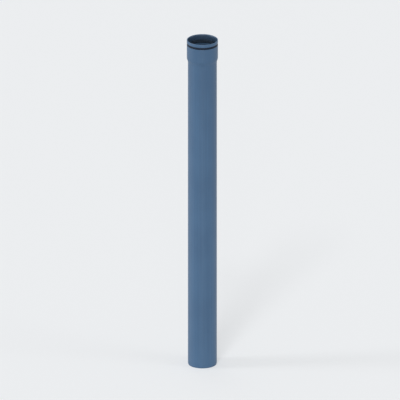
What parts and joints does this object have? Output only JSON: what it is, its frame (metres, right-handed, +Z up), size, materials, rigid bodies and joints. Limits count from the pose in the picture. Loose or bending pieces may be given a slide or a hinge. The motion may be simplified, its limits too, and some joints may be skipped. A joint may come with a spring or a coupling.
{
  "type": "polypropylene sewer pipe",
  "caption": "Straight blue polypropylene sewer pipe standing on its chamfered spigot, with a push-fit socket, a rubber lip seal inside it and a black rubber ring round it at the top.",
  "frame": {"origin": "centre of the spigot's end, on the floor that the pipe stands on", "axes": "+Z up along the pipe's axis, from the spigot to the socket's mouth; X and Y are alike"},
  "size_m": [0.1344, 0.1346, 1.5],
  "materials": {
    "pipe_polypropylene": "satin",
    "seal_rubber": "matte"
  },
  "bodies": {
    "root": {"socket_pipe": "pipe_polypropylene", "lip_seal": "seal_rubber", "groove_ring": "seal_rubber"}
  },
  "joints": []
}
